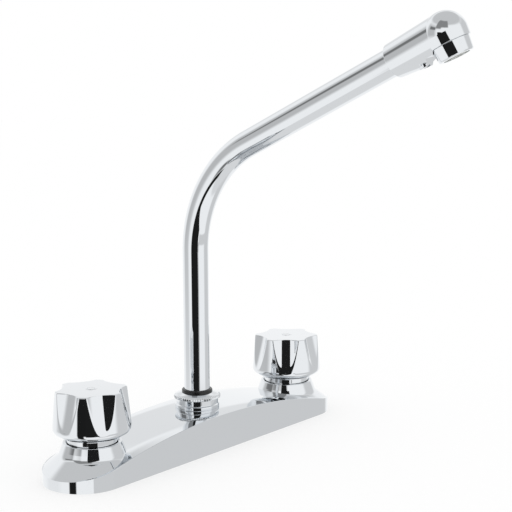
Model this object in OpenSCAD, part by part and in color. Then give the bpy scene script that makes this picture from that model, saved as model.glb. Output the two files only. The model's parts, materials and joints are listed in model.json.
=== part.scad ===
// Two-knob bridge sink mixer with a high swivel spout, millimetres.
// Origin: spout axis on the deck. +Z up, front (user side) toward -Y, valves on X.

/* [Body] */
// Distance between the two valve axes
valve_centres = 203.2; // [196:0.1:212]
// Overall length of the bridging body
body_length = 272; // [268:1:284]
// Depth of the body, front to back
body_depth = 55.2; // [53:0.2:60]
// Height of the crown of the arch above the deck
crown_h = 26; // [25.6:0.1:26.8]
// Radius of the arch along the body
arch_r = 485; // [460:5:560]
// Thickness of the cast walls
wall = 3; // [2.6:0.1:3.4]
// Height of the pedestals under the knobs
pedestal_h = 24.8; // [24.4:0.1:25.6]
// Radius of the pedestals at the top
pedestal_r = 19; // [18.8:0.1:19.6]
// Slope of the pedestal sides from upright
pedestal_lean = 20.5; // [17:0.5:23]
// Outward slope of the pedestal skirt from upright
skirt_lean = 52; // [49:1:55]

/* [Knobs] */
// Diameter of a knob across its top edge
knob_top_d = 47; // [46:0.5:50]
// Largest diameter of a knob, low down
knob_max_d = 51; // [50:0.5:54]
// Height of a knob from underside to top
knob_h = 31; // [30.6:0.1:33]
// Number of hollow flutes round a knob
flute_count = 6; // [5:1:8]
// Radius of the hollow of one flute
flute_r = 18; // [15:0.5:20]
// Depth of a flute at the top edge
flute_depth = 4.7; // [3.6:0.1:5]
// Lean of a flute, shallower toward the bottom
flute_lean = 15.2; // [14:0.1:17]
// Angle of the left knob when closed
left_angle = 3; // [0:1:60]
// Angle of the right knob when closed
right_angle = 37; // [0:1:60]

/* [Spout] */
// Outside diameter of the spout tube
tube_d = 18; // [17.4:0.1:18.4]
// Wall thickness of the spout tube
tube_wall = 1; // [0.8:0.1:1.4]
// Height at which the tube starts to bend
bend_z = 136.2; // [110:0.1:180]
// Centre-line radius of the bend
bend_r = 85; // [60:1:110]
// Rise of the arm above level
arm_rise = 25.6; // [10:0.1:40]
// Length of the straight arm up to the outlet axis
arm_l = 165.2; // [130:0.1:220]
// Diameter of the sleeve of the nose at its open end
nose_d = 22.2; // [22:0.1:23]
// Length of the nose from its open end to the outlet axis
nose_l = 38.7; // [37:0.1:46]
// Turn of the nose round the arm
nose_turn = 8; // [0:1:15]
// Diameter of the outlet housing under its seam
outlet_d = 23.8; // [23.2:0.1:24.4]

/* [Fits] */
// Radial gap of turning and sliding fits
run_gap = 0.05; // [0.03:0.01:0.08]
// Gap between pieces that pass each other freely
free_gap = 0.3; // [0.3:0.05:0.45]

/* [View] */
// Piece to draw

/* [Hidden] */
$fn = 96;
eps = 0.01;
half_c = valve_centres / 2;
end_r = body_depth / 2;
end_x = body_length / 2 - end_r;
// arch cross section: level top, slight shoulder, softened front edge
level_y = pedestal_r + 0.2;
shoulder_drop = 0.4;
edge_run = 0.8;
arch_c = crown_h - arch_r;
arch_span = 36;
arch_fn = 1440;

// valve stack, heights above the deck
inlet_r = 10.48;
inlet_l = 8.6;
seat_z = 10;
seat_t = 1;
chamber_r = 9;
bonnet_z = 17;
floor_z = 22.4;
well_r = 14.5;
thread_r = 10.45;
gasket_t = 0.8;
way_z = 13.7;
way_r = 3.4;
way_wall = 2;
shroud_r = 16.7;
shroud_t = 1.5;
shroud_top = 38;
recess_r = shroud_r + 0.8;
washer_z = seat_z + seat_t + run_gap;
washer_t = 3;
washer_r = 7.2;
plate_t = 1.6;
plate_z = washer_z + washer_t;
spindle_z = plate_z + plate_t + free_gap;
spindle_r = 6;
neck_r = 4.8;
stem_top = 52;
neck_z = 33;
spline_z = 42;
spline_teeth = 20;
spline_tip = 4.2;
spline_root = 3.75;
hex_af = 25;
hex_h = 5.8;
bonnet_top = 40.3;
jumper_r = 3;
jumper_top = 25;
button_r = 3.6;
screw_r = 2;
lift = 3;

// knob
knob_lift = 3.6;
knob_z = pedestal_h + knob_lift;
knob_top = knob_z + knob_h;
knob_mouth = shroud_r + free_gap + 0.05;
knob_rim_z = knob_z + 6.5;
knob_r0 = knob_top_d / 2;
knob_r1 = knob_max_d / 2;
flute_x = knob_r0 - flute_depth + flute_r / cos(flute_lean);
boss_z = 42.4;

// spout foot
hub_r = 13.2;
hub_z = 2;
hub_top = 31;
spot_z = crown_h - 0.5;
nut_r = 16.3;
nut_foot_r = 15.5;
nut_neck_r = 14.75;
nut_step_z = 28.4;
socket_r = 11;
socket_z = 7.5;
foot_z = 17.6;
flange_z = 32.1;
flange_t = 1.5;
nut_top = 35.6;
bush_top = 38.7;
tube_r = tube_d / 2;
// the arm's tube is a hair thinner than the bend it runs into
seam = 0.05;
foot_ring = [21, 27];

// arm frame: z along the arm, -y toward the outlet
arm_turn = 90 - arm_rise;
arm_y = -bend_r * (1 - cos(arm_turn));
arm_z = bend_z + bend_r * sin(arm_turn);
nose_r = nose_d / 2;
nose_z = arm_l - nose_l;
tube_in = 21;
neck_flare = 1.2;
neck_way_r = 6.5;
dome_r = 13.4;
dome_h = 0.8;
head_h = 7.1;
head_r = 12.9;
spigot_r = 9.8;
spigot_h = 2.8;
spigot_washer = 1.5;
outlet_h = 15.8;
rim_h = 12.4;
// swelling under the sleeve, with a boss for the grub screw
keel_r = 8.5;
keel_lean = 5;
boss_in = 18.2;
boss_l = nose_z + boss_in;
boss_r = 4.8;
boss_h = 12.9;
flat_h = 8.9;
grub_r = 2;

// ---- helpers

module ring(r_out, r_in, z0, z1) {
    translate([0, 0, z0])
        linear_extrude(z1 - z0)
            difference() {
                circle(r_out);
                circle(r_in);
            }
}

module rod(r, z0, z1) {
    translate([0, 0, z0])
        cylinder(r = r, h = z1 - z0);
}

module frustum(r0, r1, z0, z1) {
    translate([0, 0, z0])
        cylinder(r1 = r0, r2 = r1, h = z1 - z0);
}

module torus(big_r, small_r, z0) {
    translate([0, 0, z0])
        rotate_extrude()
            translate([big_r, 0])
                circle(small_r, $fn = 24);
}

module star(tip, root, teeth) {
    polygon([
        for (i = [0 : 2 * teeth - 1])
            let (r = i % 2 == 0 ? tip : root, a = i * 180 / teeth)
                [r * cos(a), r * sin(a)]
    ]);
}

module at_valve(side) {
    translate([side * half_c, 0, 0])
        children();
}

module both() {
    for (side = [-1, 1])
        at_valve(side)
            children();
}

module in_arm() {
    translate([0, arm_y, arm_z])
        rotate([arm_turn, 0, 0])
            children();
}

module in_nose() {
    in_arm()
        rotate([0, 0, nose_turn])
            children();
}

module in_outlet() {
    in_nose()
        translate([0, 0, arm_l])
            rotate([90, 0, 0])
                children();
}

// ---- body

module plan(inset) {
    r = end_r - inset;
    for (side = [-1, 1])
        translate([side * end_x, 0])
            circle(r);
    translate([-end_x, -r])
        square([2 * end_x, 2 * r]);
}

module arch_turn() {
    translate([0, 0, arch_c])
        rotate([90, 0, 0])
            rotate_extrude(angle = arch_span, start = 90 - arch_span / 2, $fn = arch_fn)
                children();
}

module arch_section() {
    r = arch_r;
    low = r - crown_h - wall;
    side = end_r + 2;
    polygon([
        [low, -side], [r - shoulder_drop - edge_run - 4, -side],
        [r - shoulder_drop - edge_run, -end_r],
        [r - shoulder_drop - edge_run * 0.3, -end_r + edge_run * 0.3],
        [r - shoulder_drop, -end_r + edge_run], [r, -level_y],
        [r, level_y], [r - shoulder_drop, end_r - edge_run],
        [r - shoulder_drop - edge_run * 0.3, end_r - edge_run * 0.3],
        [r - shoulder_drop - edge_run, end_r],
        [r - shoulder_drop - edge_run - 4, side], [low, side]
    ]);
}

module arch_inside() {
    low = arch_r - crown_h - 2 * wall;
    translate([low, -end_r])
        square([arch_r - wall - shoulder_drop - low, 2 * end_r]);
}

module pedestal() {
    top = pedestal_h;
    knee_z = 17.1;
    knee_r = pedestal_r + (top - knee_z) * tan(pedestal_lean);
    toe_r = body_length / 2 - half_c;
    toe_z = knee_z - (toe_r - knee_r) / tan(skirt_lean);
    rotate_extrude()
        polygon([
            [0, 1], [toe_r, 1], [toe_r, toe_z], [knee_r + 1.3, knee_z - 1.13],
            [knee_r + 0.35, knee_z + 0.1], [knee_r - 0.25, knee_z + 1.2],
            [pedestal_r + 0.3, top - 0.3], [pedestal_r, top], [0, top]
        ]);
}

module body_outside() {
    intersection() {
        linear_extrude(crown_h + 2)
            plan(0);
        union() {
            arch_turn()
                arch_section();
            both()
                pedestal();
        }
    }
    rod(hub_r, crown_h - wall, hub_top);
}

module body_hollow() {
    difference() {
        intersection() {
            translate([0, 0, -1])
                linear_extrude(crown_h)
                    plan(wall);
            arch_turn()
                arch_inside();
        }
        both()
            rod(well_r, -2, crown_h);
        rod(hub_r + 0.6, hub_z, crown_h);
        translate([-half_c, 0, way_z])
            rotate([0, 90, 0])
                cylinder(r = way_r + way_wall, h = valve_centres);
        for (side = [-1, 1])
            translate([side * half_c / 2 - wall / 2, -end_r, hub_z])
                cube([wall, body_depth, crown_h]);
    }
}

module valve_bore() {
    rod(inlet_r, -1, inlet_l);
    rod(washer_r - 0.6, inlet_l - 1, seat_z + 1);
    rod(chamber_r, seat_z, bonnet_z + 1);
    rod(thread_r, bonnet_z - 0.6, floor_z + 1);
    rod(recess_r, floor_z, pedestal_h + 1);
}

module body_casting() {
    color("silver")
        difference() {
            body_outside();
            body_hollow();
            both()
                valve_bore();
            translate([-half_c, 0, way_z])
                rotate([0, 90, 0])
                    cylinder(r = way_r, h = valve_centres);
            rod(socket_r, socket_z, hub_top + 1);
            ring(nut_r - 0.4, hub_r, spot_z, crown_h + 1);
        }
}

module base_gasket() {
    band = 6.7;
    bar = 12;
    color("dimgray")
        intersection() {
            linear_extrude(hub_z)
                difference() {
                    plan(wall + free_gap);
                    difference() {
                        plan(wall + free_gap + band);
                        for (side = [-1, 0, 1])
                            translate([side * half_c / 2 - bar / 2, -end_r])
                                square([bar, body_depth]);
                    }
                    both()
                        circle(well_r + free_gap);
                }
            arch_turn()
                arch_inside();
        }
}

// ---- valve, drawn on its own axis

module seat() {
    color("goldenrod")
        union() {
            ring(washer_r + 0.8, 4.8, seat_z, seat_z + seat_t);
            ring(washer_r - 0.62, 4.8, inlet_l, seat_z + eps);
        }
}

module bonnet() {
    hex_z = floor_z + gasket_t;
    color("goldenrod")
        difference() {
            union() {
                rod(thread_r - 0.02, bonnet_z, hex_z + 1);
                translate([0, 0, hex_z])
                    cylinder(r = hex_af / 2 / cos(30), h = hex_h, $fn = 6);
                rod(8, hex_z + 1, bonnet_top);
            }
            rod(washer_r + 1.4, bonnet_z - 1, 21);
            rod(spindle_r + run_gap, 20, neck_z + lift + 0.6);
            rod(neck_r + run_gap, neck_z, bonnet_top + 1);
        }
}

module bonnet_gasket() {
    color("firebrick")
        ring(13.6, thread_r + 0.05, floor_z, floor_z + gasket_t);
}

module shroud() {
    color("silver")
        difference() {
            union() {
                rod(shroud_r, floor_z, shroud_top - 0.8);
                frustum(shroud_r, shroud_r - 0.8, shroud_top - 0.8, shroud_top);
            }
            rod(shroud_r - shroud_t, floor_z - 1, shroud_top - shroud_t);
            rod(8.02, floor_z, shroud_top + 1);
        }
}

module jumper() {
    color("goldenrod")
        union() {
            rod(2, washer_z - 1.9, plate_z + eps);
            rod(washer_r, plate_z, plate_z + plate_t);
            rod(jumper_r, plate_z + plate_t - eps, jumper_top);
        }
}

module tap_washer() {
    color("dimgray")
        ring(washer_r, 2.02, washer_z, plate_z);
}

module washer_nut() {
    color("goldenrod")
        difference() {
            translate([0, 0, washer_z - 1.8])
                cylinder(r = 3.7, h = 1.8, $fn = 6);
            rod(2.02, washer_z - 3, washer_z + 1);
        }
}

module spindle() {
    color("goldenrod")
        difference() {
            union() {
                rod(spindle_r, spindle_z, neck_z);
                rod(neck_r, neck_z - eps, spline_z);
                translate([0, 0, spline_z - eps])
                    linear_extrude(stem_top - spline_z + eps)
                        star(spline_tip, spline_root, spline_teeth);
            }
            rod(jumper_r + run_gap, spindle_z - 1, jumper_top + 1);
            rod(screw_r + 0.02, spline_z + 0.5, stem_top + 1);
            ring(spindle_r + 1, spindle_r - 1.5, neck_z - 4.1, neck_z - 2.1);
        }
}

module spindle_oring() {
    color("dimgray")
        torus(spindle_r - 0.74, 0.76, neck_z - 3.1);
}

module knob_profile() {
    corner = 4.2;
    top_edge = 0.5;
    difference() {
        polygon([
            [0, knob_z], [knob_mouth + 0.8, knob_z], [knob_mouth + 4.6, knob_z + 1.5],
            [knob_r1 - 1.9, knob_z + 2.9], [knob_r1 - 0.75, knob_z + 4.1],
            [knob_r1 - 0.15, knob_z + 5.4], [knob_r1, knob_rim_z],
            [knob_r0 + 0.05, knob_top - top_edge], [knob_r0 - top_edge, knob_top],
            [0, knob_top]
        ]);
        polygon([
            [0, knob_z - 1], [knob_mouth, knob_z - 1], [knob_mouth, boss_z + 1],
            [knob_mouth - 0.6, knob_top - 2.6], [0, knob_top - 2.6]
        ]);
    }
}

module knob(turn) {
    top_in = knob_top - 2.6;
    color("silver")
        difference() {
            union() {
                rotate_extrude()
                    knob_profile();
                rod(8, boss_z, top_in + eps);
                for (a = [0 : 120 : 240])
                    rotate([0, 0, turn + a + 180 / flute_count])
                        translate([7, -0.8, boss_z + 3])
                            cube([knob_mouth - 6, 1.6, top_in - boss_z - 3 + eps]);
            }
            for (i = [0 : flute_count - 1])
                rotate([0, 0, turn + i * 360 / flute_count])
                    translate([flute_x, 0, knob_top])
                        rotate([0, -flute_lean, 0])
                            cylinder(r = flute_r, h = 4 * knob_h, center = true);
            translate([0, 0, boss_z - 1])
                linear_extrude(stem_top + 0.4 - boss_z + 1)
                    star(spline_tip + 0.03, spline_root + 0.03, spline_teeth);
            rod(screw_r + 0.15, stem_top, knob_top);
            rod(button_r + 0.02, knob_top - 3.9, knob_top + 1);
        }
}

module knob_screw() {
    head_z = knob_top - 3.9;
    color("lightgray")
        difference() {
            union() {
                rod(screw_r, spline_z + 3, head_z + eps);
                rod(button_r - 0.3, head_z, head_z + 2.2);
            }
            translate([0, 0, head_z + 1.4])
                cube([8, 1, 2], center = true);
        }
}

module index_button() {
    color("silver")
        difference() {
            rod(button_r, knob_top - 1.5, knob_top + 0.15);
            ring(button_r - 0.7, button_r - 1.1, knob_top - 0.15, knob_top + 1);
        }
}

// ---- spout foot

module spout_nut() {
    low = spot_z;
    color("silver")
        difference() {
            union() {
                frustum(nut_foot_r - 0.4, nut_foot_r, low, low + 0.6);
                rod(nut_foot_r, low + 0.6 - eps, nut_step_z);
                frustum(nut_foot_r, nut_neck_r, nut_step_z - eps, nut_step_z + 0.5);
                rod(nut_neck_r, nut_step_z + 0.4, nut_step_z + 4.6);
                translate([0, 0, nut_top - 3])
                    linear_extrude(2)
                        star(nut_r, nut_r - 0.45, 60);
                frustum(nut_r - 0.5, nut_r - 1.5, nut_top - 1 - eps, nut_top);
            }
            rod(hub_r + 0.02, low - 1, flange_z + flange_t + free_gap);
            rod(10.2, low, nut_top + 1);
        }
}

module spout_bush() {
    color("black")
        difference() {
            union() {
                rod(10.18, flange_z + flange_t + free_gap + 0.2, nut_top + eps);
                rod(10.7, nut_top, bush_top - 0.8);
                frustum(10.7, 9.9, bush_top - 0.8 - eps, bush_top);
            }
            rod(tube_r + run_gap, 30, bush_top + 1);
        }
}

module swivel_washer() {
    color("ivory")
        ring(hub_r - 0.1, socket_r + 0.2, hub_top, hub_top + 0.8);
}

module spout_foot() {
    color("goldenrod")
        difference() {
            union() {
                rod(socket_r - run_gap, foot_z, flange_z + eps);
                rod(hub_r - free_gap, flange_z, flange_z + flange_t);
            }
            rod(tube_r + 0.01, foot_z + 1.5, flange_z + flange_t + 1);
            rod(tube_r - tube_wall, foot_z - 1, foot_z + 2);
            for (z = foot_ring)
                ring(socket_r + 1, socket_r - 1.4, z - 1, z + 1);
        }
}

module foot_orings() {
    color("dimgray")
        for (z = foot_ring)
            torus(socket_r - 0.72, 0.66, z);
}

// ---- spout

module spout_tube() {
    color("silver")
        union() {
            ring(tube_r, tube_r - tube_wall, foot_z + 1.5, bend_z);
            translate([0, -bend_r, bend_z])
                rotate([90, 0, 90])
                    rotate_extrude(angle = arm_turn, $fn = 240)
                        translate([bend_r, 0])
                            difference() {
                                circle(tube_r);
                                circle(tube_r - tube_wall);
                            }
            in_arm()
                ring(tube_r - seam, tube_r - tube_wall + seam, -5 * eps, nose_z + tube_in);
        }
}

module nose_sleeve() {
    rotate_extrude()
        polygon([
            [0, nose_z], [nose_r - 0.5, nose_z], [nose_r, nose_z + 0.7],
            [nose_r + neck_flare, arm_l - 2], [0, arm_l - 2]
        ]);
}

module nose_head() {
    translate([0, 0, arm_l])
        rotate([90, 0, 0])
            rotate_extrude() {
                intersection() {
                    translate([0, dome_h])
                        circle(dome_r);
                    translate([0, dome_h - dome_r])
                        square([dome_r, dome_r]);
                }
                polygon([
                    [0, dome_h], [dome_r, dome_h], [head_r, head_h - 0.5],
                    [head_r - 0.5, head_h], [0, head_h]
                ]);
            }
}

module keel() {
    // a leaning round bar that swells out under the sleeve as far as the boss
    back = boss_l - nose_z - 0.5;
    translate([0, keel_r - boss_h, boss_l])
        rotate([keel_lean, 0, 0])
            translate([0, 0, -back])
                cylinder(r1 = keel_r - 0.3, r2 = keel_r, h = back);
    translate([0, 0, boss_l])
        rotate([90, 0, 0])
            rod(boss_r, 0, boss_h);
}

module under_cut() {
    // everything deeper than the flat ahead of the boss
    rotate([0, -90, 0])
        translate([0, 0, -2 * nose_r])
            linear_extrude(4 * nose_r)
                polygon([
                    [boss_l + 0.8, -boss_h - 0.3], [boss_l + 5.8, -flat_h],
                    [arm_l, -flat_h], [arm_l, -2 * nose_r], [boss_l + 0.8, -2 * nose_r]
                ]);
}

module nose() {
    color("silver")
        in_nose()
            difference() {
                union() {
                    difference() {
                        union() {
                            nose_sleeve();
                            keel();
                        }
                        under_cut();
                        translate([0, 0, arm_l])
                            rotate([90, 0, 0])
                                rod(outlet_d / 2 + free_gap, head_h - 0.5, 2 * nose_r);
                    }
                    nose_head();
                }
                rod(tube_r + 0.01, nose_z - 1, nose_z + tube_in);
                rod(neck_way_r, nose_z, arm_l);
                ring(tube_r + 1.1, tube_r - 0.5, nose_z + 6, nose_z + 8);
                translate([0, 0, boss_l])
                    rotate([90, 0, 0])
                        rod(grub_r + 0.02, 0, boss_h + 1);
                translate([0, 0, arm_l])
                    rotate([90, 0, 0]) {
                        sphere(neck_way_r + 0.3);
                        rod(neck_way_r, 0, head_h);
                        rod(spigot_r + 0.02, spigot_h - spigot_washer, head_h + 1);
                    }
            }
}

module nose_oring() {
    color("dimgray")
        in_nose()
            torus(tube_r + 0.53, 0.5, nose_z + 7);
}

module nose_grub_screw() {
    color("lightgray")
        in_nose()
            translate([0, 0, boss_l])
                rotate([90, 0, 0])
                    difference() {
                        rod(grub_r, tube_r + 0.02, boss_h - 0.8);
                        translate([0, 0, boss_h - 2.4])
                            cylinder(r = 1.15, h = 3, $fn = 6);
                    }
}

module aerator_housing() {
    r0 = outlet_d / 2;
    r1 = r0 - 0.8;
    color("silver")
        in_outlet()
            difference() {
                union() {
                    rod(spigot_r, spigot_h, head_h + eps);
                    frustum(r0, r1, head_h, rim_h);
                    translate([0, 0, rim_h - eps])
                        linear_extrude(outlet_h - 0.6 - rim_h)
                            star(r1 - 0.05, r1 - 0.4, 72);
                    frustum(r1 - 0.4, r1 - 0.9, outlet_h - 0.7, outlet_h);
                }
                rod(8.9, spigot_h - 1, outlet_h - 1.2);
                rod(8.2, spigot_h, outlet_h + 1);
            }
}

module aerator_insert() {
    pitch = 2.4;
    color("whitesmoke")
        in_outlet()
            translate([0, 0, outlet_h - 4.4])
                linear_extrude(3.2)
                    difference() {
                        circle(8.88);
                        for (i = [-2 : 2], j = [-2 : 2])
                            translate([i * pitch, j * pitch])
                                square(1.7, center = true);
                    }
}

module aerator_screen() {
    color("lightgray")
        in_outlet()
            translate([0, 0, outlet_h - 5.2])
                linear_extrude(0.8)
                    difference() {
                        circle(8.88);
                        for (k = [0 : 1 : 11])
                            rotate(k * 30)
                                for (x = [3.2, 6.2])
                                    translate([x, 0])
                                        circle(0.55, $fn = 16);
                    }
}

module aerator_washer() {
    color("dimgray")
        in_outlet()
            ring(spigot_r - 0.1, neck_way_r + 0.7, spigot_h - spigot_washer, spigot_h);
}

body_casting();
base_gasket();
at_valve(-1) seat();  // seat_left
at_valve(1) seat();  // seat_right
at_valve(-1) bonnet();  // bonnet_left
at_valve(1) bonnet();  // bonnet_right
at_valve(-1) bonnet_gasket();  // bonnet_gasket_left
at_valve(1) bonnet_gasket();  // bonnet_gasket_right
at_valve(-1) shroud();  // shroud_left
at_valve(1) shroud();  // shroud_right
at_valve(-1) jumper();  // jumper_left
at_valve(1) jumper();  // jumper_right
at_valve(-1) tap_washer();  // tap_washer_left
at_valve(1) tap_washer();  // tap_washer_right
at_valve(-1) washer_nut();  // washer_nut_left
at_valve(1) washer_nut();  // washer_nut_right
at_valve(-1) spindle();  // spindle_left
at_valve(1) spindle();  // spindle_right
at_valve(-1) spindle_oring();  // spindle_oring_left
at_valve(1) spindle_oring();  // spindle_oring_right
at_valve(-1) knob(left_angle);  // knob_left
at_valve(1) knob(right_angle);  // knob_right
at_valve(-1) knob_screw();  // knob_screw_left
at_valve(1) knob_screw();  // knob_screw_right
at_valve(-1) index_button();  // index_button_left
at_valve(1) index_button();  // index_button_right
spout_nut();
spout_bush();
swivel_washer();
spout_tube();
spout_foot();
foot_orings();
nose();
nose_oring();
nose_grub_screw();
aerator_housing();
aerator_insert();
aerator_screen();
aerator_washer();
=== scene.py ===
# %% [markdown]
# # A two-knob bridge mixer tap in chrome
# The CAD model is the frame: every piece below sits where the CAD nodes are, in metres, +Z up, with the user
# side toward -Y. This notebook first sets the camera of the photograph, then the floor and the light that the
# chrome mirrors, then makes the finishes, and then models the polished outer pieces again with smooth surfaces.

# %% Load the frame
import bpy
import json
import math
from mathutils import Matrix, Vector


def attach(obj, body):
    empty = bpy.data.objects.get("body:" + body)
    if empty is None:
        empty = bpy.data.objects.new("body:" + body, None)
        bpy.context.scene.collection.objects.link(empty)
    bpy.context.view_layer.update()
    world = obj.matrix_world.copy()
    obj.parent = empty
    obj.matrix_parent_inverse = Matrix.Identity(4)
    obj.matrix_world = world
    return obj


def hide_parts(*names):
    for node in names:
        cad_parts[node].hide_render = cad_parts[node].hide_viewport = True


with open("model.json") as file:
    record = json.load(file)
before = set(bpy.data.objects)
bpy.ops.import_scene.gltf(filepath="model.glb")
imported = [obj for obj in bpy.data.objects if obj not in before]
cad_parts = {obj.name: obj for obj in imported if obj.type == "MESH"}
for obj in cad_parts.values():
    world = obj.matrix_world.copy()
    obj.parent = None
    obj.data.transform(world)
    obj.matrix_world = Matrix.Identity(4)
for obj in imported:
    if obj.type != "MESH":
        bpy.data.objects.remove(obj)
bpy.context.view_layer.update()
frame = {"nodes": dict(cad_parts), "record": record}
nodes = frame["nodes"]
scene = bpy.context.scene
MM = 0.001

# %% [markdown]
# ## Camera
# The camera was fitted to the photograph: it stands about 0.95 m away, in front of the left-hand knob and a
# little above it, with a lens of about 94 mm. It is created first so that every later step can be judged
# through it.

# %% Camera at the photograph's viewpoint
CAMERA_AT = Vector((-675.9, -609.9, 280.3)) * MM
CAMERA_AZIMUTH = math.radians(-50.57)
CAMERA_DOWN = math.radians(9.23)
CAMERA_ROLL = math.radians(-0.24)
FRAME_PX = 512
FOCAL_PX = 1331.5
SENSOR_MM = 36


def aim_camera():
    """The photograph's camera: a forward, right and up direction made into a rotation."""
    flat = math.cos(CAMERA_DOWN)
    forward = Vector((
        -math.sin(CAMERA_AZIMUTH) * flat, math.cos(CAMERA_AZIMUTH) * flat, -math.sin(CAMERA_DOWN)
    ))
    right = forward.cross(Vector((0, 0, 1))).normalized()
    up = right.cross(forward)
    c, s = math.cos(CAMERA_ROLL), math.sin(CAMERA_ROLL)
    right, up = c * right + s * up, c * up - s * right
    data = bpy.data.cameras.new("photo_camera")
    data.sensor_width = SENSOR_MM
    data.lens = SENSOR_MM * FOCAL_PX / FRAME_PX
    data.clip_start, data.clip_end = 0.05, 50
    camera = bpy.data.objects.new("photo_camera", data)
    scene.collection.objects.link(camera)
    turn = Matrix((right, up, -forward)).transposed().to_4x4()
    camera.matrix_world = Matrix.Translation(CAMERA_AT) @ turn
    scene.camera = camera
    return camera


camera = aim_camera()
print("camera lens mm:", round(camera.data.lens, 1))
scene.view_settings.view_transform = "Standard"

# %% [markdown]
# ## Node helper and colours
# Every finish below is a small node tree. One function adds a node with its settings and links, and one turns
# a written sRGB colour into the linear values that the shader wants.

# %% Helpers for materials


def linear(hex_colour):
    """sRGB hex such as #c8ccd0 as a linear RGBA tuple."""
    channels = [int(hex_colour[i:i + 2], 16) / 255 for i in (1, 3, 5)]
    return tuple(c / 12.92 if c <= 0.04045 else ((c + 0.055) / 1.055) ** 2.4 for c in channels) + (1.0,)


def add(tree, kind, settings=None, links=None, **values):
    """One node: settings are its properties, values its sockets by name, links {socket: output socket}."""
    node = tree.nodes.new(kind)
    for key, value in (settings or {}).items():
        setattr(node, key, value)
    for key, value in values.items():
        node.inputs[key.replace("_", " ")].default_value = value
    for key, output in (links or {}).items():
        tree.links.new(output, node.inputs[key])
    return node


def new_material(name):
    """An empty material with its output node; returns (material, tree, output)."""
    material = bpy.data.materials.new(name)
    material.use_nodes = True
    tree = material.node_tree
    tree.nodes.clear()
    return material, tree, tree.nodes.new("ShaderNodeOutputMaterial")


def finished(name, settings, roughness, spread, scale_mm, bump=0.0):
    """A Principled finish whose roughness wanders by spread, at a real size in mm, with an optional fine bump."""
    material, tree, out = new_material(name)
    shader = add(tree, "ShaderNodeBsdfPrincipled")
    for key, value in settings.items():
        shader.inputs[key].default_value = value
    place = add(tree, "ShaderNodeTexCoord")
    noise = add(tree, "ShaderNodeTexNoise", links={"Vector": place.outputs["Object"]},
                Scale=1 / (scale_mm * MM), Detail=3.0)
    level = add(tree, "ShaderNodeMapRange", links={"Value": noise.outputs["Fac"]})
    level.inputs["To Min"].default_value = max(roughness - spread, 0.0)
    level.inputs["To Max"].default_value = roughness + spread
    tree.links.new(level.outputs["Result"], shader.inputs["Roughness"])
    if bump:
        relief = add(tree, "ShaderNodeBump", links={"Height": noise.outputs["Fac"]},
                     Strength=1.0, Distance=bump * MM)
        tree.links.new(relief.outputs["Normal"], shader.inputs["Normal"])
    tree.links.new(shader.outputs["BSDF"], out.inputs["Surface"])
    return material


# %% [markdown]
# ## Finishes
# The tap is cast and drawn brass under bright chromium plate. Chromium mirrors a little bluish, about 0.55 to
# 0.6 in the physics tables, but polished decorative plate over nickel reads brighter. The inner pieces are
# bare turned brass, stainless steel, nitrile rubber, vulcanised fibre and moulded plastic.

# %% Make the finishes
chrome = finished("bright_chrome_plate", {
    "Base Color": linear("#e4e7ea"), "Metallic": 1.0}, roughness=0.035, spread=0.012, scale_mm=18)
brass = finished("turned_brass", {
    "Base Color": linear("#c9a45a"), "Metallic": 1.0}, roughness=0.3, spread=0.08, scale_mm=1.5, bump=0.01)
steel = finished("stainless_steel", {
    "Base Color": linear("#b9bbbd"), "Metallic": 1.0}, roughness=0.25, spread=0.08, scale_mm=1.0)
rubber = finished("nitrile_rubber", {
    "Base Color": linear("#161616")}, roughness=0.6, spread=0.1, scale_mm=0.8, bump=0.02)
fibre = finished("vulcanised_fibre", {
    "Base Color": linear("#8c3a2c")}, roughness=0.7, spread=0.1, scale_mm=0.6, bump=0.03)
black_plastic = finished("black_acetal", {
    "Base Color": linear("#101010")}, roughness=0.28, spread=0.05, scale_mm=1.2, bump=0.005)
white_plastic = finished("white_acetal", {
    "Base Color": linear("#dcdcd6")}, roughness=0.4, spread=0.05, scale_mm=1.2, bump=0.005)
FINISHES = {
    "chrome": chrome, "brass": brass, "steel": steel, "rubber": rubber, "fibre": fibre,
    "black_plastic": black_plastic, "white_plastic": white_plastic,
}
for entry in frame["record"]["subparts"]:
    mesh = nodes[entry["node"]].data
    mesh.materials.clear()
    mesh.materials.append(FINISHES[entry["material_slot"]])
print("finishes:", sorted(FINISHES))

# %% [markdown]
# ## Modelling helpers
# Most of a tap is turned on a lathe, so most pieces here are too: an outline is drawn point by point with
# extrude, then spun round its axis. Corners are rounded in the outline itself, because a real polished edge
# always has a small radius, and that radius is what catches the light.

# %% Draw and turn outlines


def deselect():
    bpy.ops.object.select_all(action="DESELECT")


def active(piece):
    """Makes one object the only selected and active one."""
    deselect()
    piece.select_set(True)
    bpy.context.view_layer.objects.active = piece
    return piece


def rounded(corners):
    """Outline points in mm from corners (x, y) or (x, y, radius), each radius made into an arc."""
    points = []
    count = len(corners)
    for i, corner in enumerate(corners):
        here = Vector(corner[:2])
        if len(corner) == 2 or i in (0, count - 1):
            points.append(here)
            continue
        before = (Vector(corners[i - 1][:2]) - here).normalized()
        after = (Vector(corners[i + 1][:2]) - here).normalized()
        half = before.angle(after) / 2
        reach = corner[2] / math.tan(half)
        middle = here + (before + after).normalized() * corner[2] / math.sin(half)
        start = here + before * reach - middle
        end = here + after * reach - middle
        steps = max(4, round(math.degrees(start.angle(end)) / (3 if corner[2] > 2 else 12)))
        for k in range(steps + 1):
            points.append(middle + start.slerp(end, k / steps) * corner[2])
    return points


def draw_outline(name, points):
    """An object in edit mode whose vertices and edges follow 3-D points in metres."""
    deselect()
    bpy.ops.mesh.primitive_plane_add(size=MM, location=points[0])
    piece = bpy.context.object
    piece.name = name
    bpy.ops.object.transform_apply(location=True, rotation=True, scale=True)
    bpy.ops.object.mode_set(mode="EDIT")
    bpy.ops.mesh.merge(type="CENTER")
    for a, b in zip(points, points[1:]):
        bpy.ops.mesh.extrude_vertices_move(TRANSFORM_OT_translate={"value": b - a})
    return piece


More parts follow.
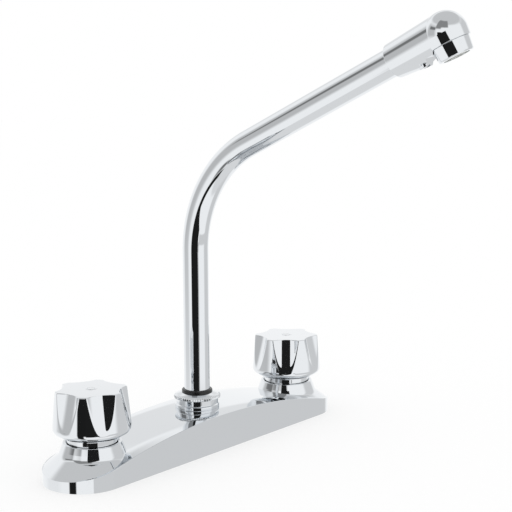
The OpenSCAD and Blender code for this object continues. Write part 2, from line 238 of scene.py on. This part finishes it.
def close_up(inside=False):
    """Merges doubled vertices and turns every face outward; called in edit mode, leaves it."""
    bpy.ops.mesh.select_all(action="SELECT")
    bpy.ops.mesh.remove_doubles(threshold=0.002 * MM)
    bpy.ops.mesh.normals_make_consistent(inside=inside)
    bpy.ops.object.mode_set(mode="OBJECT")


def turned(name, corners, steps=180, at=(0, 0), closed=True):
    """A lathe piece about an upright axis at a place in mm, from corners (radius, height[, rounding])."""
    flat = rounded(corners)
    outline = [Vector((at[0] + p.x, at[1], p.y)) * MM for p in flat]
    if closed:
        outline.append(outline[0].copy())
    piece = draw_outline(name, outline)
    bpy.ops.mesh.select_all(action="SELECT")
    bpy.ops.mesh.spin(steps=steps, angle=2 * math.pi, center=Vector((at[0], at[1], 0)) * MM, axis=(0, 0, 1))
    close_up()
    return piece


def polish(piece, material, sharp=32):
    """Smooth shading that keeps real edges, with normals that follow the larger faces."""
    active(piece)
    bpy.ops.object.shade_smooth_by_angle(angle=math.radians(sharp))
    weighted = piece.modifiers.new("weighted_normals", "WEIGHTED_NORMAL")
    weighted.keep_sharp = True
    bpy.ops.object.modifier_apply(modifier=weighted.name)
    piece.data.materials.clear()
    piece.data.materials.append(material)
    return piece


def knurl(piece, teeth, r_low, r_high, low, high, depth):
    """Presses fine teeth into the part of a turned piece between two radii and two heights, in mm."""
    for v in piece.data.vertices:
        x, y, z = (c / MM for c in v.co)
        radius = math.hypot(x, y)
        if not (r_low < radius < r_high and low < z < high):
            continue
        tooth = abs((math.atan2(y, x) * teeth / (2 * math.pi)) % 1 * 2 - 1)
        share = (radius - tooth * depth) / radius
        v.co.x, v.co.y = v.co.x * share, v.co.y * share


def combine(piece, other, operation):
    """Joins, cuts or keeps the common part of two closed meshes; the second is used up."""
    active(piece)
    step = piece.modifiers.new("combine", "BOOLEAN")
    step.operation = operation
    step.solver = "EXACT"
    step.object = other
    bpy.ops.object.modifier_apply(modifier=step.name)
    bpy.data.objects.remove(other)
    return piece


def settle(piece, body, slot, *replaced):
    """Says what the piece moves with and which CAD nodes it stands for; slot, the finish, is not used."""
    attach(piece, body)
    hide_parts(*replaced)
    print(piece.name, len(piece.data.polygons), "faces, replaces", ", ".join(replaced))


# %% [markdown]
# ## The body casting
# The body is one long polished casting: a stadium in plan, with upright walls and a top that arches gently
# from end to end. A round pedestal rises at each end. The arch is a wide sector spun about a far axis below
# the deck, the pedestals are turned, and the stadium then trims them all, like a pastry cutter.

# %% Body casting
VALVE_X = 101.6
BODY_END_R = 27.6
BODY_END_X = 108.4
CROWN_Z = 26.0
ARCH_R = 485.0
PEDESTAL_Z = 24.8
RECESS_R = 17.5
RECESS_Z = 22.4
WALL = 3.0


def stadium(name, end_r, low, high):
    """An upright stadium-shaped block, drawn as a circle whose halves are pulled apart."""
    deselect()
    bpy.ops.mesh.primitive_circle_add(vertices=256, radius=end_r * MM, location=(0, 0, low * MM))
    block = bpy.context.object
    block.name = name
    bpy.ops.object.transform_apply(location=True)
    for side in (-1, 1):
        bpy.ops.object.mode_set(mode="EDIT")
        bpy.ops.mesh.select_all(action="DESELECT")
        bpy.ops.object.mode_set(mode="OBJECT")
        for v in block.data.vertices:
            v.select = v.co.x * side > 0.01 * MM
        bpy.ops.object.mode_set(mode="EDIT")
        bpy.ops.transform.translate(value=(side * BODY_END_X * MM, 0, 0))
        bpy.ops.object.mode_set(mode="OBJECT")
    bpy.ops.object.mode_set(mode="EDIT")
    bpy.ops.mesh.select_all(action="SELECT")
    bpy.ops.mesh.edge_face_add()
    bpy.ops.mesh.extrude_region_move(TRANSFORM_OT_translate={"value": (0, 0, (high - low) * MM)})
    close_up()
    return block


def arch(name, corners, sweep=36, steps=144):
    """A sector of the arch, from its cross-section (across, height at the crown), spun along the body."""
    centre = Vector((0, 0, (CROWN_Z - ARCH_R) * MM))
    outline = [Vector((0, p.x, p.y)) * MM for p in rounded(corners)]
    piece = draw_outline(name, outline)
    bpy.ops.mesh.select_all(action="SELECT")
    bpy.ops.mesh.edge_face_add()
    half = math.radians(sweep / 2)
    bpy.ops.transform.rotate(value=half, orient_axis="Y", center_override=centre)
    bpy.ops.mesh.spin(steps=steps, angle=-2 * half, center=centre, axis=(0, 1, 0))
    close_up()
    return piece


deep = CROWN_Z - 45
body = arch("body_shell", [
    (-32, deep), (-32, CROWN_Z - 7), (-27.61, CROWN_Z - 2.1, 0.3), (-27.6, CROWN_Z - 1.0, 0.8),
    (-19.5, CROWN_Z, 55), (19.5, CROWN_Z, 55), (27.6, CROWN_Z - 1.0, 0.8), (27.61, CROWN_Z - 2.1, 0.3),
    (32, CROWN_Z - 7), (32, deep),
])
for side in (-1, 1):
    pedestal = turned("pedestal", [
        (0, 1), (34.4, 1), (34.4, 7.1), (22.1, 16.8, 5), (20.75, 20.6, 6),
        (19.1, PEDESTAL_Z, 0.4), (10, PEDESTAL_Z), (0, PEDESTAL_Z),
    ], steps=256, at=(side * VALVE_X, 0))
    combine(body, pedestal, "UNION")
combine(body, stadium("trim", BODY_END_R, 0, CROWN_Z + 4), "INTERSECT")
print("body outside made")
for side in (-1, 1):
    recess = turned("recess", [
        (0, RECESS_Z), (RECESS_R, RECESS_Z), (RECESS_R, PEDESTAL_Z + 2), (0, PEDESTAL_Z + 2)
    ], steps=192, at=(side * VALVE_X, 0))
    combine(body, recess, "DIFFERENCE")

# %% Underside of the body: walls, valve wells, spout hub and water way
hollow = arch("hollow", [
    (-30, deep), (-30, CROWN_Z - WALL - 0.4), (30, CROWN_Z - WALL - 0.4), (30, deep),
], steps=72)
combine(hollow, stadium("inside", BODY_END_R - WALL, -2, 30), "INTERSECT")
for x, r in ((-VALVE_X, 14.5), (VALVE_X, 14.5), (0, 13.8)):
    well = turned("well", [(0, 0 if x else 2), (r, 0 if x else 2), (r, 30), (0, 30)], steps=96, at=(x, 0))
    combine(hollow, well, "DIFFERENCE")
deselect()
bpy.ops.mesh.primitive_cylinder_add(
    vertices=64, radius=5.4 * MM, depth=2 * VALVE_X * MM, location=(0, 0, 13.7 * MM), rotation=(0, math.pi / 2, 0))
combine(hollow, bpy.context.object, "DIFFERENCE")
for side in (-1, 1):
    deselect()
    bpy.ops.mesh.primitive_cube_add(location=(side * VALVE_X / 2 * MM, 0, 17 * MM))
    rib = bpy.context.object
    rib.scale = (WALL / 2 * MM, 40 * MM, 15 * MM)
    combine(hollow, rib, "DIFFERENCE")
combine(body, hollow, "DIFFERENCE")
for side in (-1, 1):
    inlet = turned("inlet", [(0, -2), (10.48, -2), (10.48, 8.6), (0, 8.6)], steps=96, at=(side * VALVE_X, 0))
    combine(body, inlet, "DIFFERENCE")
polish(body, chrome, sharp=24)
settle(body, "base", "chrome", "body_casting")

# %% [markdown]
# ## Knobs
# Each knob is a heavy cast cap, tapering upward, with six hollow flutes that fade out toward its rounded
# underside. The cap is turned first. Each flute is then pressed in: every point of the side that lies outside
# the leaning cylinder of a flute is moved in to it, with a small rounding where the two surfaces meet.

# %% Turn a knob and press its flutes
KNOB_LOW = 28.4
KNOB_TOP = 59.4
KNOB_TOP_R = 23.55
KNOB_MAX_R = 25.5
KNOB_MOUTH = 17.05
FLUTES = 6
FLUTE_R = 18.0
FLUTE_DEPTH = 4.7
FLUTE_END = 35.2
FLUTE_EDGE = 0.35
KNOB_RIM_Z = 34.9
KNOB_SLOPE = (KNOB_MAX_R - KNOB_TOP_R) / (KNOB_TOP - KNOB_RIM_Z)
CLOSED_TURN = {-1: 3.0, 1: 37.0}


def side_points(low, high, rows):
    """Evenly spaced outline points between two corners, so that the flutes have rows to shape."""
    return [
        (low[0] + (high[0] - low[0]) * k / rows, low[1] + (high[1] - low[1]) * k / rows) for k in range(1, rows)
    ]


def flute_reach(angle, z):
    """Distance from the knob's axis to the flute's surface in that direction, or None past its edge."""
    share = (z - FLUTE_END) / (KNOB_TOP - FLUTE_END)
    if share <= 0:
        return None
    full = KNOB_TOP_R + (KNOB_TOP - z) * KNOB_SLOPE
    centre = full - FLUTE_DEPTH * share ** 0.8 + FLUTE_R
    root = FLUTE_R ** 2 - (centre * math.sin(angle)) ** 2
    return centre * math.cos(angle) - math.sqrt(root) if root > 0 else None


def softer_min(a, b, width):
    """The smaller of two lengths, rounded over a small width where they are nearly equal."""
    blend = max(width - abs(a - b), 0) / width
    return min(a, b) - blend * blend * width / 4


def press_flutes(piece, at_x, turn):
    """Moves the side of a turned knob in to its flutes; the rim of its top follows."""
    step = 2 * math.pi / FLUTES
    for v in piece.data.vertices:
        x, y, z = v.co.x / MM - at_x, v.co.y / MM, v.co.z / MM
        radius = math.hypot(x, y)
        if radius < 14 or z < KNOB_LOW + 1.2:
            continue
        if radius < KNOB_MOUTH + 0.3 and z < KNOB_TOP - 1:
            continue
        angle = (math.atan2(y, x) - math.radians(turn) + step / 2) % step - step / 2
        height = min(z, KNOB_TOP)
        reach = flute_reach(angle, height)
        if reach is None:
            continue
        full = KNOB_TOP_R + (KNOB_TOP - height) * KNOB_SLOPE
        full = max(full, radius) if z < KNOB_TOP - 2 else full
        if z < KNOB_TOP - 1.0:
            wanted = softer_min(radius, reach, FLUTE_EDGE * 2)
        else:
            rim = softer_min(full, reach, FLUTE_EDGE * 2)
            share = min(max((radius - 14) / (full - 14), 0), 1.2)
            wanted = radius - share * share * (full - rim)
        if wanted < radius:
            v.co.x = (at_x + x * wanted / radius) * MM
            v.co.y = y * wanted / radius * MM


def make_knob(side, name):
    top_edge, bottom_edge = (KNOB_TOP_R, KNOB_TOP), (KNOB_MAX_R, KNOB_RIM_Z)
    top_rings = [(21.5, KNOB_TOP), (20, KNOB_TOP), (18, KNOB_TOP), (16, KNOB_TOP), (13, KNOB_TOP)]
    knob = turned(name, [
        (KNOB_MOUTH, 42), (KNOB_MOUTH, 36), (KNOB_MOUTH, KNOB_LOW + 0.3), (17.9, KNOB_LOW, 0.4),
        (21.7, 29.9, 4), (24.6, 31.9, 3), (25.4, 33.4, 2), bottom_edge, *side_points(bottom_edge, top_edge, 44),
        (*top_edge, 0.55), *top_rings, (3.62, KNOB_TOP), (3.62, 55.5), (2.15, 55.5), (2.15, 52.4),
        (4.2, 52.4), (4.2, 42.4), (8, 42.4), (8, 56.8), (16.4, 56.8),
    ], steps=480, at=(side * VALVE_X, 0))
    press_flutes(knob, side * VALVE_X, CLOSED_TURN[side])
    return polish(knob, chrome, sharp=38)


settle(make_knob(-1, "knob_left_cap"), "knob_unit_left", "chrome", "knob_left")
settle(make_knob(1, "knob_right_cap"), "knob_unit_right", "chrome", "knob_right")

# %% Plain index buttons in the tops of the knobs
for side, word in ((-1, "left"), (1, "right")):
    button = turned("button_" + word, [
        (0, 58), (3.58, 58), (3.58, 59.5, 0.12), (2.95, 59.55, 0.08), (2.8, 59.3), (2.6, 59.3),
        (2.45, 59.55, 0.08), (0, 59.55),
    ], steps=96, at=(side * VALVE_X, 0))
    polish(button, chrome)
    settle(button, "knob_unit_" + word, "chrome", "index_button_" + word)

# %% [markdown]
# ## Collars
# The plain collar under each knob hides the bonnet. It is a thin turned cup, open at the bottom.

# %% Collars
for side, word in ((-1, "left"), (1, "right")):
    collar = turned("collar_" + word, [
        (15.2, RECESS_Z), (16.7, RECESS_Z), (16.7, 38, 0.8), (8.05, 38), (8.05, 36.5), (15.2, 36.5, 0.5),
    ], steps=192, at=(side * VALVE_X, 0))
    polish(collar, chrome)
    settle(collar, "base", "chrome", "shroud_" + word)

# %% [markdown]
# ## Spout tube
# The spout is one bent tube. A ring is extruded up from the foot, spun through the bend, and extruded along
# the arm, and the wall is then given its thickness inward.

# %% Spout tube
TUBE_R = 9.0
TUBE_LOW = 19.1
BEND_Z = 136.2
BEND_R = 85.0
ARM_TURN = math.radians(64.4)
ARM_L = 165.2
NOSE_START = 126.5
TUBE_IN = 21.0
ARM_DIRECTION = Vector((0, -math.sin(ARM_TURN), math.cos(ARM_TURN)))
ARM_START = Vector((0, -BEND_R * (1 - math.cos(ARM_TURN)), BEND_Z + BEND_R * math.sin(ARM_TURN)))


def make_tube():
    deselect()
    bpy.ops.mesh.primitive_circle_add(vertices=128, radius=TUBE_R * MM, location=(0, 0, TUBE_LOW * MM))
    tube = bpy.context.object
    tube.name = "spout_pipe"
    bpy.ops.object.transform_apply(location=True)
    bpy.ops.object.mode_set(mode="EDIT")
    bpy.ops.mesh.select_all(action="SELECT")
    bpy.ops.mesh.extrude_region_move(TRANSFORM_OT_translate={"value": (0, 0, (BEND_Z - TUBE_LOW) * MM)})
    bpy.ops.mesh.spin(steps=96, angle=-ARM_TURN, center=Vector((0, -BEND_R, BEND_Z)) * MM, axis=(1, 0, 0))
    along = ARM_DIRECTION * (NOSE_START + TUBE_IN) * MM
    bpy.ops.mesh.extrude_region_move(TRANSFORM_OT_translate={"value": along})
    close_up()
    wall = tube.modifiers.new("wall", "SOLIDIFY")
    wall.thickness, wall.offset = 1.0 * MM, -1
    active(tube)
    bpy.ops.object.modifier_apply(modifier=wall.name)
    return polish(tube, chrome)


settle(make_tube(), "spout", "chrome", "spout_tube")

# %% [markdown]
# ## Nose
# The nose is a casting pushed over the end of the tube: a sleeve that widens a little, a domed barrel at the
# outlet, and a swelling underneath that carries the grub screw. Ahead of the screw the underside is flat. Each
# part of it is turned upright, laid into the arm's own frame, and joined.

# %% Nose casting
ARM_FRAME = Matrix.Translation(ARM_START * MM) @ Matrix.Rotation(ARM_TURN, 4, "X")
NOSE_FRAME = ARM_FRAME @ Matrix.Rotation(math.radians(8), 4, "Z")
OUTLET_FRAME = NOSE_FRAME @ Matrix.Translation((0, 0, ARM_L * MM)) @ Matrix.Rotation(math.pi / 2, 4, "X")
BOSS_L = 144.7
BOSS_H = 12.9
FLAT_H = 8.9
HEAD_H = 7.1
DOME_R = 13.4
DOME_H = 0.8


def across(length):
    """The frame of a hole or boss that leaves the arm at a length along it, pointing down and out."""
    return Matrix.Translation((0, 0, length * MM)) @ Matrix.Rotation(math.pi / 2, 4, "X")


def placed(piece, *frames):
    """Moves a piece's mesh through one frame after another."""
    for place in frames:
        piece.data.transform(place)
    return piece


def prism(name, outline, half_width):
    """A block with an outline of (length along the arm, depth below it), both in mm."""
    points = [Vector((-half_width, -depth, along)) * MM for along, depth in outline]
    block = draw_outline(name, points)
    bpy.ops.mesh.select_all(action="SELECT")
    bpy.ops.mesh.edge_face_add()
    bpy.ops.mesh.extrude_region_move(TRANSFORM_OT_translate={"value": (2 * half_width * MM, 0, 0)})
    close_up()
    return block


def make_nose():
    nose = turned("nose_casting", [
        (0, NOSE_START), (11.1, NOSE_START, 0.5), (12.3, ARM_L - 2), (0, ARM_L - 2)], steps=240)
    back = BOSS_L - NOSE_START - 0.5
    keel = turned("keel", [(0, -back), (8.2, -back, 0.4), (8.5, 0, 0.6), (0, 0)], steps=160)
    lean = Matrix.Rotation(math.radians(5), 4, "X")
    placed(keel, lean, Matrix.Translation((0, (8.5 - BOSS_H) * MM, BOSS_L * MM)))
    combine(nose, keel, "UNION")
    boss = turned("boss", [(0, 0), (4.8, 0), (4.8, BOSS_H, 0.6), (0, BOSS_H)], steps=96)
    combine(nose, placed(boss, across(BOSS_L)), "UNION")
    combine(nose, prism("flat", [
        (BOSS_L + 0.8, BOSS_H + 0.3), (BOSS_L + 5.8, FLAT_H), (ARM_L, FLAT_H), (ARM_L, 22), (BOSS_L + 0.8, 22)
    ], 22), "DIFFERENCE")
    clear = turned("clear", [(0, HEAD_H - 0.5), (12.2, HEAD_H - 0.5), (12.2, 25), (0, 25)], steps=160)
    combine(nose, placed(clear, across(ARM_L)), "DIFFERENCE")
    head = turned("head", [
        (0, DOME_H - DOME_R), (DOME_R, DOME_H - DOME_R, DOME_R), (DOME_R, DOME_H + 0.01), (12.9, HEAD_H, 0.35),
        (0, HEAD_H),
    ], steps=240)
    combine(nose, placed(head, across(ARM_L)), "UNION")
    socket = turned("socket", [(0, 120), (9.02, 120), (9.02, NOSE_START + TUBE_IN), (0, NOSE_START + TUBE_IN)],
                    steps=128)
    combine(nose, socket, "DIFFERENCE")
    way = turned("way", [(0, 140), (6.5, 140), (6.5, ARM_L), (0, ARM_L)], steps=96)
    combine(nose, way, "DIFFERENCE")
    bore = turned("bore", [(0, 0), (6.5, 0), (6.5, 1.3), (9.82, 1.3), (9.82, 9), (0, 9)], steps=128)
    combine(nose, placed(bore, across(ARM_L)), "DIFFERENCE")
    screw_hole = turned("screw_hole", [(0, 5), (2.02, 5), (2.02, 16), (0, 16)], steps=48)
    combine(nose, placed(screw_hole, across(BOSS_L)), "DIFFERENCE")
    placed(nose, NOSE_FRAME)
    return polish(nose, chrome, sharp=30)


settle(make_nose(), "spout", "chrome", "nose")

# %% Aerator housing


def make_housing():
    housing = turned("outlet_housing", [
        (8.9, 1.8), (9.8, 2.8), (9.8, HEAD_H + 0.02), (11.9, HEAD_H + 0.02, 0.25), (10.95, 15.1, 0.3),
        (10.3, 15.8, 0.25), (8.2, 15.8), (8.2, 14.6),
        (8.9, 14.6),
    ], steps=432)
    placed(housing, OUTLET_FRAME)
    return polish(housing, chrome, sharp=38)


settle(make_housing(), "spout", "chrome", "aerator_housing")

# %% [markdown]
# ## Spout nut and bush
# A ring nut with a knurled tier holds the spout on the body. A black bush closes the gap round the tube.

# %% Spout nut and bush
KNURLS = 60
nut = turned("ring_nut", [
    (13.22, 25.5), (15.1, 25.5), (15.5, 26.1, 0.2), (15.5, 28.3, 0.3), (14.75, 28.8, 0.3), (14.75, 32.6, 0.2),
    (16.2, 32.7, 0.15), (16.3, 33.0), (16.3, 34.0), (15.9, 34.5), (14.2, 35.5, 3), (11.2, 36.5, 1),
    (10.72, 36.5), (10.72, 35.6), (10.2, 35.6), (10.2, 33.9), (13.22, 33.9),
], steps=480)
knurl(nut, KNURLS, 15.85, 17, 32.6, 34.7, 0.45)
polish(nut, chrome, sharp=40)
settle(nut, "base", "chrome", "spout_nut")
bush = turned("black_bush", [
    (9.05, 34.2), (10.18, 34.2), (10.18, 35.6), (10.7, 35.6), (10.7, 38.2, 0.7), (9.9, 38.7, 0.3),
    (9.05, 38.5, 0.2),
], steps=192)
polish(bush, black_plastic)
settle(bush, "base", "black_plastic", "spout_bush")

# %% [markdown]
# ## Floor, world and what the chrome mirrors
# A product photograph of chrome is made by what surrounds it: a white tent with a few dark and grey cards,
# which draw the dark lines down every curved surface. The bearings of the cards were worked back from the
# photograph, by following a ray from the camera to the tap and on in the mirrored direction. The cards are
# part of the world and only glossy rays see them. The light on the tap itself is a plain white of strength 1.
# A bearing here is the angle round +Z from +X in degrees, and it runs from 75 down to -285.

# %% World and floor
TENT_SEAM = 75
TENT_LEVEL = 1.04
#    from   to    low  high soft level
CARDS = [
    (-290, 80, -95, -58, 6, 0.82),
    (-290, 80, 40, 95, 12, 0.66),
    (-202, -138, 27, 62, 8, 0.28),
    (-58, -5, -62, 40, 16, 0.71),
    (-112, -50, -24, -15.3, 2, 0.72),
    (20, 72, 15.6, 32, 6, 0.89),
    (-254, -205, -14, 32, 20, 0.58),
    (-240, -206, 14, 25, 6, 0.20),
    (-206, -176, 20, 60, 10, 0.28),
    (-118.5, -112, -17, -9, 3, 0.45),
    (-196, -179, -55, -40, 8, 0.20),
    (-177, -158, -61, -3.5, 4, 0.013),
    (-163, -138, -17.6, -3.5, 1, 0.013),
]
# the black card that stands at the left of the set: its corners (Y, Z) in mm
FLAG_X = -330
FLAG = [(-600, -187), (-125, -58), (-125, 310), (-600, 310)]


def math_node(tree, operation, a, b=None):
    """A math node; a and b are sockets or numbers."""
    node = tree.nodes.new("ShaderNodeMath")
    node.operation = operation
    for socket, value in zip(node.inputs, (a, b)):
        if isinstance(value, bpy.types.NodeSocket):
            tree.links.new(value, socket)
        elif value is not None:
            socket.default_value = value
    return node.outputs[0]


def ramp(tree, value, start, end):
    """A smooth step from 0 at start to 1 at end (end may be below start)."""
    node = add(tree, "ShaderNodeMapRange", {"interpolation_type": "SMOOTHSTEP"}, {"Value": value})
    low, high = (start, end) if start < end else (end, start)
    node.inputs["From Min"].default_value, node.inputs["From Max"].default_value = low, high
    node.inputs["To Min"].default_value = 0.0 if start < end else 1.0
    node.inputs["To Max"].default_value = 1.0 if start < end else 0.0
    return node.outputs["Result"]


def make_world():
    world = bpy.data.worlds.new("white_tent")
    scene.world = world
    world.use_nodes = True
    tree = world.node_tree
    tree.nodes.clear()
    out = tree.nodes.new("ShaderNodeOutputWorld")
    place = add(tree, "ShaderNodeTexCoord")
    turned_way = add(tree, "ShaderNodeVectorRotate", {"rotation_type": "Z_AXIS"},
                     {"Vector": place.outputs["Generated"]}, Angle=math.radians(180 - TENT_SEAM))
    way = add(tree, "ShaderNodeSeparateXYZ", links={"Vector": turned_way.outputs["Vector"]})
    angle = math_node(tree, "ARCTAN2", way.outputs["Y"], way.outputs["X"])
    bearing = math_node(tree, "ADD", math_node(tree, "DEGREES", angle), TENT_SEAM - 180)
    height = math_node(tree, "DEGREES", math_node(tree, "ARCSINE", way.outputs["Z"]))
    level = TENT_LEVEL
    for start, end, low, high, soft, card_level in CARDS:
        half = soft / 2
        masks = [
            ramp(tree, bearing, start - half, start + half), ramp(tree, bearing, end + half, end - half),
            ramp(tree, height, low - half, low + half), ramp(tree, height, high + half, high - half),
        ]
        mask = masks[0]
        for other in masks[1:]:
            mask = math_node(tree, "MULTIPLY", mask, other)
        mix = add(tree, "ShaderNodeMix", {"data_type": "FLOAT"})
        tree.links.new(mask, mix.inputs[0])
        mix.inputs[2].default_value = TENT_LEVEL
        if not isinstance(level, float):
            tree.links.new(level, mix.inputs[2])
        mix.inputs[3].default_value = card_level
        level = mix.outputs[0]
    plain = add(tree, "ShaderNodeBackground", Color=(1, 1, 1, 1), Strength=1.0)
    tent = add(tree, "ShaderNodeBackground", links={"Strength": level}, Color=(1, 1, 1, 1))
    rays = add(tree, "ShaderNodeLightPath")
    chosen = add(tree, "ShaderNodeMixShader", links={"Fac": rays.outputs["Is Glossy Ray"]})
    tree.links.new(plain.outputs["Background"], chosen.inputs[1])
    tree.links.new(tent.outputs["Background"], chosen.inputs[2])
    tree.links.new(chosen.outputs["Shader"], out.inputs["Surface"])
    return world


def make_floor():
    """A white floor: half of what the camera sees is the shaded paint, half plain white, so a shadow stays."""
    bpy.ops.mesh.primitive_plane_add(size=6, location=(0, 0, 0))
    floor = bpy.context.object
    floor.name = "floor"
    floor.visible_glossy = False
    material, tree, out = new_material("white_sweep")
    matte = add(tree, "ShaderNodeBsdfDiffuse", Color=linear("#ffffff"))
    white = add(tree, "ShaderNodeEmission", Color=(1, 1, 1, 1), Strength=1.0)
    rays = add(tree, "ShaderNodeLightPath")
    share = math_node(tree, "MULTIPLY", rays.outputs["Is Camera Ray"], 0.6)
    mix = add(tree, "ShaderNodeMixShader", links={"Fac": share})
    tree.links.new(matte.outputs["BSDF"], mix.inputs[1])
    tree.links.new(white.outputs["Emission"], mix.inputs[2])
    tree.links.new(mix.outputs["Shader"], out.inputs["Surface"])
    floor.data.materials.append(material)
    return floor


def make_flag(corners):
    """A black card at the left of the set, which only the mirror finish sees."""
    bpy.ops.mesh.primitive_plane_add(size=1)
    flag = bpy.context.object
    flag.name = "black_flag"
    for loop, (y, z) in zip(flag.data.loops, corners):
        flag.data.vertices[loop.vertex_index].co = Vector((FLAG_X, y, z)) * MM
    flag.visible_camera = False
    flag.visible_diffuse = False
    flag.visible_transmission = False
    flag.visible_shadow = False
    material, tree, out = new_material("black_velvet")
    cloth = add(tree, "ShaderNodeEmission", Color=(1, 1, 1, 1), Strength=0.014)
    tree.links.new(cloth.outputs["Emission"], out.inputs["Surface"])
    flag.data.materials.append(material)
    return flag


make_world()
make_floor()
make_flag(FLAG)
